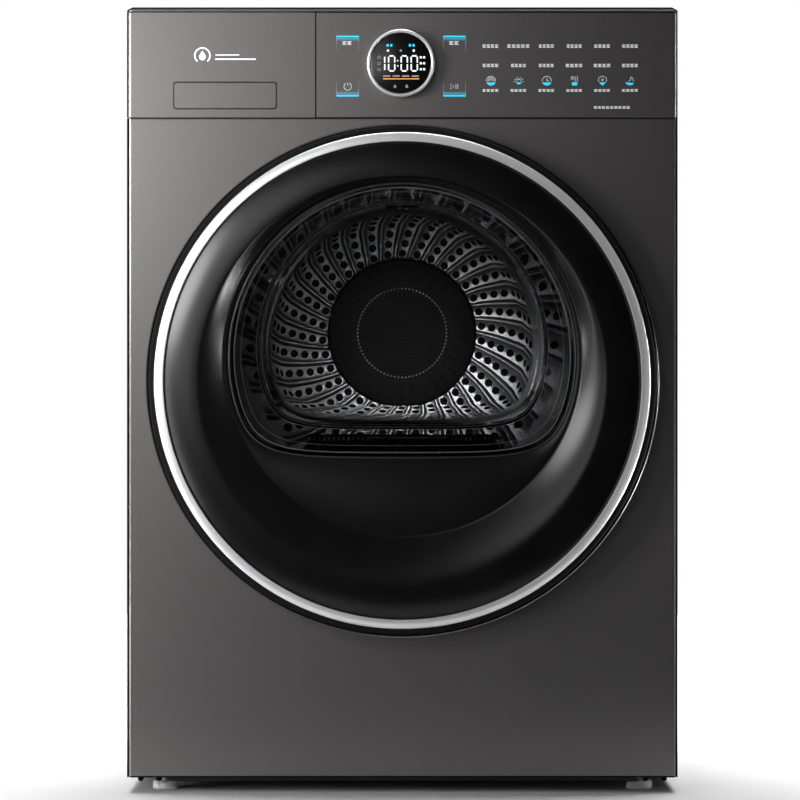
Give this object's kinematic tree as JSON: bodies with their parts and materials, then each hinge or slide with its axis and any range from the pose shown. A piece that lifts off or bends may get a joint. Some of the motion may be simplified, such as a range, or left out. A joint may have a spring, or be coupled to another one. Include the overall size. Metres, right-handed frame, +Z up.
{
  "type": "clothes dryer",
  "caption": "Front-loading clothes dryer with a large round chrome-rimmed door, a D-shaped window, a dished gloss fascia and a round selector.",
  "frame": {"origin": "middle of the footprint, at floor level", "axes": "+Z up, front faces -Y, +X to the right of someone facing the front"},
  "size_m": [0.595, 0.623, 0.85],
  "materials": {
    "body_paint": "satin dark grey metallic paint",
    "dark_plastic": "fine moulded grain",
    "gloss_black": "high gloss",
    "chrome": "polished",
    "steel": "rolled stainless",
    "galvanised": "galvanised sheet",
    "glass": "smoked, polished",
    "grey_plastic": "moulded",
    "white_plastic": "moulded",
    "rubber": "matt",
    "felt": "pressed felt",
    "cast": "black enamel",
    "fins": "bare fins"
  },
  "bodies": {
    "cabinet": {"top_cover": "body_paint", "left_side_panel": "body_paint", "right_side_panel": "body_paint", "front_panel": "body_paint", "rear_panel": "galvanised", "rear_duct_cover": "galvanised", "base_tray": "dark_plastic", "control_panel": "body_paint", "display_lens": "gloss_black", "control_box": "white_plastic", "power_inlet_gland": "rubber", "tank_housing": "grey_plastic", "loading_surround": "dark_plastic", "door_seal": "rubber", "latch_housing": "dark_plastic", "hinge_bracket": "steel", "front_bulkhead": "dark_plastic", "drum_front_seal": "felt", "rear_bearing": "cast", "drum_belt": "rubber", "motor_housing": "cast", "fan_housing": "grey_plastic", "filter_duct": "grey_plastic", "compressor": "cast", "heat_exchanger": "fins", "condensate_pump": "dark_plastic"},
    "door": {"door_frame": "dark_plastic", "door_trim_ring": "chrome", "door_fascia": "gloss_black", "door_window": "glass", "door_bowl": "glass", "door_inner_frame": "dark_plastic", "hinge_leaf": "steel", "hinge_pin": "steel"},
    "door_latch": {"latch_hook": "steel"},
    "drum": {"drum_shell": "steel", "drum_rear_wall": "steel", "drum_hub_cover": "dark_plastic", "drum_lifter_1": "grey_plastic", "drum_lifter_2": "grey_plastic", "drum_lifter_3": "grey_plastic", "drum_shaft": "steel"},
    "motor_rotor": {"motor_shaft": "steel", "fan_impeller": "grey_plastic"},
    "roller_left": {"support_roller_left": "rubber"},
    "roller_right": {"support_roller_right": "rubber"},
    "idler": {"idler_arm": "steel"},
    "idler_wheel": {"idler_pulley": "dark_plastic"},
    "selector": {"selector_ring": "chrome"},
    "water_drawer": {"drawer_front": "body_paint", "water_tank": "white_plastic", "grip_flap_pin": "steel", "grip_flap_spring": "steel"},
    "grip_flap": {"drawer_grip_flap": "body_paint"},
    "filter_outer": {"lint_filter_outer": "dark_plastic"},
    "filter_inner": {"lint_filter_inner": "white_plastic"},
    "foot_fl": {"foot_front_left": "grey_plastic"},
    "foot_fr": {"foot_front_right": "grey_plastic"},
    "foot_rl": {"foot_rear_left": "grey_plastic"},
    "foot_rr": {"foot_rear_right": "grey_plastic"}
  },
  "joints": [
    {"name": "door_hinge", "type": "hinge", "parent": "cabinet", "child": "door", "pos_m": [0.264, -0.296, 0.446], "axis": [0, 0, 1], "range_deg": [0, 150]},
    {"name": "latch_hook_pivot", "type": "hinge", "parent": "door", "child": "door_latch", "pos_m": [-0.244, -0.2734, 0.446], "axis": [0, 0, 1], "range_deg": [0, 8], "stiffness_Nm_per_rad": 0.3, "springref_deg": -5.73},
    {"name": "drum_spin", "type": "hinge", "parent": "cabinet", "child": "drum", "pos_m": [0, -0.174, 0.505], "axis": [0, 1, 0], "continuous": true},
    {"name": "motor_spin", "type": "hinge", "parent": "cabinet", "child": "motor_rotor", "pos_m": [0.19, 0, 0.112], "axis": [0, 1, 0], "continuous": true},
    {"name": "roller_left_spin", "type": "hinge", "parent": "cabinet", "child": "roller_left", "pos_m": [-0.19664, -0.162, 0.25331], "axis": [0, 1, 0], "continuous": true},
    {"name": "roller_right_spin", "type": "hinge", "parent": "cabinet", "child": "roller_right", "pos_m": [0.19664, -0.162, 0.25331], "axis": [0, 1, 0], "continuous": true},
    {"name": "idler_swing", "type": "hinge", "parent": "cabinet", "child": "idler", "pos_m": [0.165, 0.138, 0.062], "axis": [0, -1, 0], "range_deg": [0, 15], "stiffness_Nm_per_rad": 2, "springref_deg": -11.46},
    {"name": "idler_spin", "type": "hinge", "parent": "idler", "child": "idler_wheel", "pos_m": [0.12, 0.12, 0.13], "axis": [0, 1, 0], "continuous": true},
    {"name": "selector_turn", "type": "hinge", "parent": "cabinet", "child": "selector", "pos_m": [-0.0016, -0.281, 0.789], "axis": [0, 1, 0], "continuous": true},
    {"name": "drawer_slide", "type": "slide", "parent": "cabinet", "child": "water_drawer", "axis": [0, -1, 0], "range_m": [0, 0.38]},
    {"name": "grip_flap_push", "type": "hinge", "parent": "water_drawer", "child": "grip_flap", "pos_m": [-0.192, -0.2755, 0.765], "axis": [1, 0, 0], "range_deg": [0, 45], "stiffness_Nm_per_rad": 0.03, "springref_deg": -11.46},
    {"name": "filter_lift", "type": "slide", "parent": "cabinet", "child": "filter_outer", "axis": [0, 0, 1], "range_m": [0, 0.165]},
    {"name": "inner_filter_lift", "type": "slide", "parent": "filter_outer", "child": "filter_inner", "axis": [0, 0, 1], "range_m": [0, 0.15]},
    {"name": "foot_fl_screw", "type": "slide", "parent": "cabinet", "child": "foot_fl", "axis": [0, 0, -1], "range_m": [0, 0.012]},
    {"name": "foot_fr_screw", "type": "slide", "parent": "cabinet", "child": "foot_fr", "axis": [0, 0, -1], "range_m": [0, 0.012]},
    {"name": "foot_rl_screw", "type": "slide", "parent": "cabinet", "child": "foot_rl", "axis": [0, 0, -1], "range_m": [0, 0.012]},
    {"name": "foot_rr_screw", "type": "slide", "parent": "cabinet", "child": "foot_rr", "axis": [0, 0, -1], "range_m": [0, 0.012]}
  ],
  "couplings": [
    {"joint": "motor_spin", "follows": "drum_spin", "ratio": 41},
    {"joint": "roller_left_spin", "follows": "drum_spin", "ratio": -8.9688},
    {"joint": "roller_right_spin", "follows": "drum_spin", "ratio": -8.9688},
    {"joint": "idler_spin", "follows": "drum_spin", "ratio": -15.944}
  ]
}
